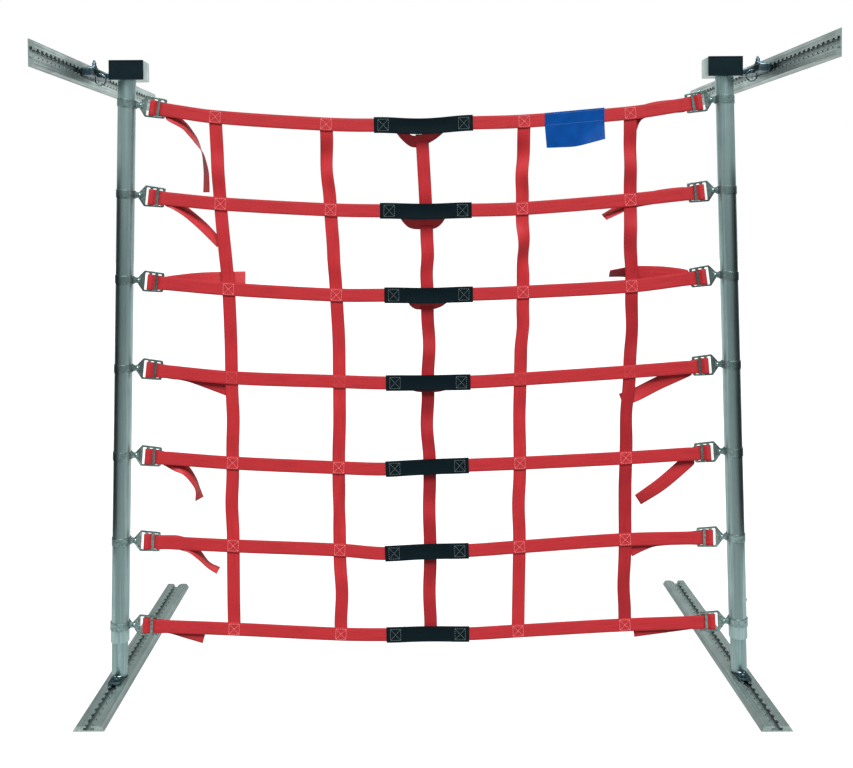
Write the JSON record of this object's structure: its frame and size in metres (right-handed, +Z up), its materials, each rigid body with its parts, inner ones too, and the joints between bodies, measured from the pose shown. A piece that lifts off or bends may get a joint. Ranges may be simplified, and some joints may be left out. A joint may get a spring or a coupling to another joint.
{
  "type": "cargo net with posts and rails",
  "caption": "Cargo net of woven webbing with slide buckles and hand grips, hung between two telescopic posts that lock into slotted rails.",
  "frame": {"origin": "on the floor, in the middle of the box round the whole part", "axes": "+Z up, +X from the left post to the right one, +Y to the back, so the net faces -Y"},
  "size_m": [1.6, 1.082, 1.491],
  "materials": {
    "red_webbing": "woven polyester webbing, matt",
    "black_webbing": "close-woven polyester webbing, matt",
    "blue_cloth": "coated cloth, slightly glossy",
    "buckle_steel": "stamped, zinc plated, dull",
    "clamp_steel": "stamped, zinc plated, dull",
    "post_tube": "drawn tube, zinc plated, satin",
    "head_metal": "extruded, mill finish",
    "rail_aluminium": "extruded, mill finish",
    "cap_plastic": "moulded, fine grain"
  },
  "bodies": {
    "root": {"cross_strap_1": "red_webbing", "cross_strap_2": "red_webbing", "cross_strap_3": "red_webbing", "cross_strap_4": "red_webbing", "cross_strap_5": "red_webbing", "cross_strap_6": "red_webbing", "cross_strap_7": "red_webbing", "down_strap_1": "red_webbing", "down_strap_2": "red_webbing", "down_strap_3": "red_webbing", "down_strap_4": "red_webbing", "down_strap_5": "red_webbing", "grip_1": "black_webbing", "grip_2": "black_webbing", "grip_3": "black_webbing", "grip_4": "black_webbing", "grip_5": "black_webbing", "grip_6": "black_webbing", "grip_7": "black_webbing", "label": "blue_cloth", "buckle_1_left": "buckle_steel", "buckle_1_right": "buckle_steel", "buckle_2_left": "buckle_steel", "buckle_2_right": "buckle_steel", "buckle_3_left": "buckle_steel", "buckle_3_right": "buckle_steel", "buckle_4_left": "buckle_steel", "buckle_4_right": "buckle_steel", "buckle_5_left": "buckle_steel", "buckle_5_right": "buckle_steel", "buckle_6_left": "buckle_steel", "buckle_6_right": "buckle_steel", "buckle_7_left": "buckle_steel", "buckle_7_right": "buckle_steel", "clamp_1_left": "clamp_steel", "clamp_1_right": "clamp_steel", "clamp_2_left": "clamp_steel", "clamp_2_right": "clamp_steel", "clamp_3_left": "clamp_steel", "clamp_3_right": "clamp_steel", "clamp_4_left": "clamp_steel", "clamp_4_right": "clamp_steel", "clamp_5_left": "clamp_steel", "clamp_5_right": "clamp_steel", "clamp_6_left": "clamp_steel", "clamp_6_right": "clamp_steel", "clamp_7_left": "clamp_steel", "clamp_7_right": "clamp_steel", "post_left": "post_tube", "inner_post_left": "post_tube", "head_left": "head_metal", "end_cap_left": "cap_plastic", "floor_rail_left": "rail_aluminium", "side_rail_left": "rail_aluminium", "post_right": "post_tube", "inner_post_right": "post_tube", "head_right": "head_metal", "end_cap_right": "cap_plastic", "floor_rail_right": "rail_aluminium", "side_rail_right": "rail_aluminium"}
  },
  "joints": []
}
